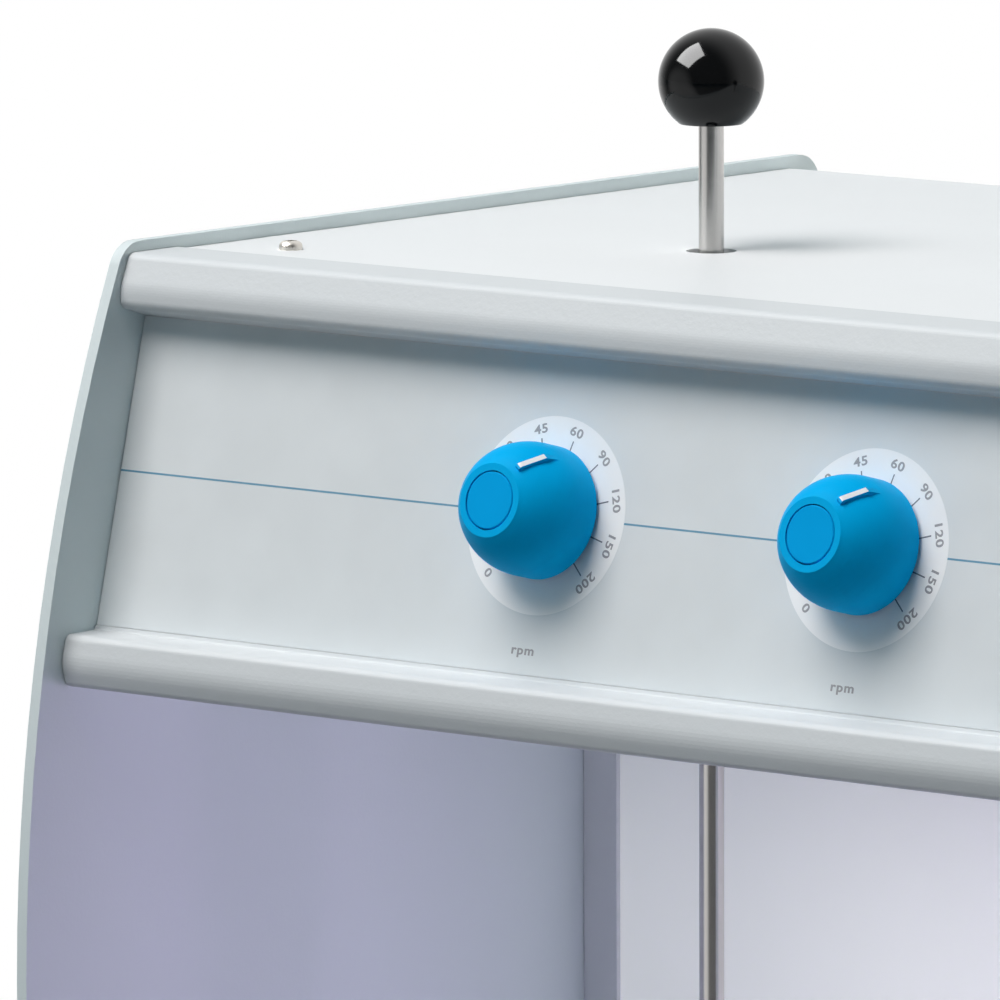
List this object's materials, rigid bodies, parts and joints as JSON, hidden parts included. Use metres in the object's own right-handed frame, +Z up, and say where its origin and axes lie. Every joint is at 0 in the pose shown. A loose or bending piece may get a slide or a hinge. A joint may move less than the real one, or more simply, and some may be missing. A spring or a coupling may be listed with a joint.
{
  "type": "jar tester",
  "caption": "Bench jar tester: a painted housing with a back-lit bay for jars, a sloping panel with speed knobs and switches, and geared stirrers on sliding rods with ball knobs.",
  "frame": {"origin": "middle of the footprint, on the bench, under the feet", "axes": "+X along the row of stirrers to the user's right, -Y towards the user, +Z up"},
  "size_m": [0.645, 0.299, 0.3966],
  "materials": {
    "side_paint": "satin powder coat",
    "cover_paint": "satin fine-texture powder coat",
    "rail_paint": "satin fine-texture powder coat",
    "bay_paint": "satin powder coat",
    "panel_sheet": "plain",
    "overlay_film": "matt printed film",
    "bare_aluminium": "machined",
    "nickelled_steel": "nickelled",
    "motor_steel": "plated",
    "board_laminate": "glass-epoxy board",
    "supply_case": "folded sheet",
    "black_plastic": "moulded",
    "white_plastic": "moulded",
    "green_plastic": "moulded, clear green",
    "opal_acrylic": "opal acrylic sheet",
    "lamp_glass": "opal fluorescent tube",
    "foot_rubber": "matt",
    "knob_blue": "satin moulded",
    "cap_blue": "satin moulded",
    "spindle_steel": "turned",
    "gear_plastic": "acetal",
    "rod_steel": "ground stainless steel",
    "ball_black": "polished phenolic"
  },
  "bodies": {
    "housing": {"side_panel_left": "side_paint", "side_panel_right": "side_paint", "top_cover": "cover_paint", "rear_cover": "side_paint", "upper_front_rail": "rail_paint", "lower_front_rail": "rail_paint", "control_panel": "panel_sheet", "panel_overlay": "overlay_film", "head_floor": "bay_paint", "drive_plate": "bare_aluminium", "plate_spacers": "nickelled_steel", "spindle_bearings": "nickelled_steel", "gear_motors": "motor_steel", "potentiometers": "motor_steel", "control_board": "board_laminate", "power_supply": "supply_case", "mains_inlet": "black_plastic", "switch_frames": "black_plastic", "back_wall": "bay_paint", "light_diffuser": "opal_acrylic", "lamp_tubes": "lamp_glass", "lamp_holders": "white_plastic", "base_tray": "bay_paint", "base_front_rail": "rail_paint", "feet": "foot_rubber", "cover_screws": "nickelled_steel"},
    "mains_rocker": {"mains_rocker": "green_plastic"},
    "lamp_rocker": {"lamp_rocker": "black_plastic"},
    "knob_1": {"knob_1": "knob_blue", "knob_cap_1": "cap_blue", "control_shaft_1": "bare_aluminium"},
    "spindle_1": {"spindle_1": "spindle_steel"},
    "pinion_1": {"pinion_1": "gear_plastic"},
    "rod_1": {"rod_1": "rod_steel", "ball_1": "ball_black", "paddle_1": "rod_steel"},
    "knob_2": {"knob_2": "knob_blue", "knob_cap_2": "cap_blue", "control_shaft_2": "bare_aluminium"},
    "spindle_2": {"spindle_2": "spindle_steel"},
    "pinion_2": {"pinion_2": "gear_plastic"},
    "rod_2": {"rod_2": "rod_steel", "ball_2": "ball_black", "paddle_2": "rod_steel"},
    "knob_3": {"knob_3": "knob_blue", "knob_cap_3": "cap_blue", "control_shaft_3": "bare_aluminium"},
    "spindle_3": {"spindle_3": "spindle_steel"},
    "pinion_3": {"pinion_3": "gear_plastic"},
    "rod_3": {"rod_3": "rod_steel", "ball_3": "ball_black", "paddle_3": "rod_steel"},
    "knob_4": {"knob_4": "knob_blue", "knob_cap_4": "cap_blue", "control_shaft_4": "bare_aluminium"},
    "spindle_4": {"spindle_4": "spindle_steel"},
    "pinion_4": {"pinion_4": "gear_plastic"},
    "rod_4": {"rod_4": "rod_steel", "ball_4": "ball_black", "paddle_4": "rod_steel"}
  },
  "joints": [
    {"name": "mains_rocker_tilt", "type": "hinge", "parent": "housing", "child": "mains_rocker", "pos_m": [0.2655, -0.11413, 0.29315], "axis": [1, 0, 0], "range_deg": [0, 16]},
    {"name": "lamp_rocker_tilt", "type": "hinge", "parent": "housing", "child": "lamp_rocker", "pos_m": [0.1915, -0.11413, 0.29315], "axis": [1, 0, 0], "range_deg": [0, 16]},
    {"name": "knob_1_turn", "type": "hinge", "parent": "housing", "child": "knob_1", "pos_m": [-0.1892, -0.11981, 0.29518], "axis": [0, -0.9703, 0.2419], "range_deg": [-98, 172]},
    {"name": "spindle_1_spin", "type": "hinge", "parent": "housing", "child": "spindle_1", "pos_m": [-0.2175, -0.02, 0.24824], "axis": [0, 0, 1], "continuous": true},
    {"name": "pinion_1_spin", "type": "hinge", "parent": "housing", "child": "pinion_1", "pos_m": [-0.2175, 0.022, 0.24824], "axis": [0, 0, 1], "continuous": true},
    {"name": "rod_1_lift", "type": "slide", "parent": "spindle_1", "child": "rod_1", "axis": [0, 0, 1], "range_m": [-0.024, 0.135]},
    {"name": "knob_2_turn", "type": "hinge", "parent": "housing", "child": "knob_2", "pos_m": [-0.0962, -0.11981, 0.29518], "axis": [0, -0.9703, 0.2419], "range_deg": [-98, 172]},
    {"name": "spindle_2_spin", "type": "hinge", "parent": "housing", "child": "spindle_2", "pos_m": [-0.0725, -0.02, 0.24824], "axis": [0, 0, 1], "continuous": true},
    {"name": "pinion_2_spin", "type": "hinge", "parent": "housing", "child": "pinion_2", "pos_m": [-0.0725, 0.022, 0.24824], "axis": [0, 0, 1], "continuous": true},
    {"name": "rod_2_lift", "type": "slide", "parent": "spindle_2", "child": "rod_2", "axis": [0, 0, 1], "range_m": [-0.024, 0.135]},
    {"name": "knob_3_turn", "type": "hinge", "parent": "housing", "child": "knob_3", "pos_m": [-0.0032, -0.11981, 0.29518], "axis": [0, -0.9703, 0.2419], "range_deg": [-98, 172]},
    {"name": "spindle_3_spin", "type": "hinge", "parent": "housing", "child": "spindle_3", "pos_m": [0.0725, -0.02, 0.24824], "axis": [0, 0, 1], "continuous": true},
    {"name": "pinion_3_spin", "type": "hinge", "parent": "housing", "child": "pinion_3", "pos_m": [0.0725, 0.022, 0.24824], "axis": [0, 0, 1], "continuous": true},
    {"name": "rod_3_lift", "type": "slide", "parent": "spindle_3", "child": "rod_3", "axis": [0, 0, 1], "range_m": [-0.024, 0.135]},
    {"name": "knob_4_turn", "type": "hinge", "parent": "housing", "child": "knob_4", "pos_m": [0.0898, -0.11981, 0.29518], "axis": [0, -0.9703, 0.2419], "range_deg": [-98, 172]},
    {"name": "spindle_4_spin", "type": "hinge", "parent": "housing", "child": "spindle_4", "pos_m": [0.2175, -0.02, 0.24824], "axis": [0, 0, 1], "continuous": true},
    {"name": "pinion_4_spin", "type": "hinge", "parent": "housing", "child": "pinion_4", "pos_m": [0.2175, 0.022, 0.24824], "axis": [0, 0, 1], "continuous": true},
    {"name": "rod_4_lift", "type": "slide", "parent": "spindle_4", "child": "rod_4", "axis": [0, 0, 1], "range_m": [-0.024, 0.135]}
  ],
  "couplings": [
    {"joint": "pinion_1_spin", "follows": "spindle_1_spin", "ratio": -2.5},
    {"joint": "pinion_2_spin", "follows": "spindle_2_spin", "ratio": -2.5},
    {"joint": "pinion_3_spin", "follows": "spindle_3_spin", "ratio": -2.5},
    {"joint": "pinion_4_spin", "follows": "spindle_4_spin", "ratio": -2.5}
  ]
}
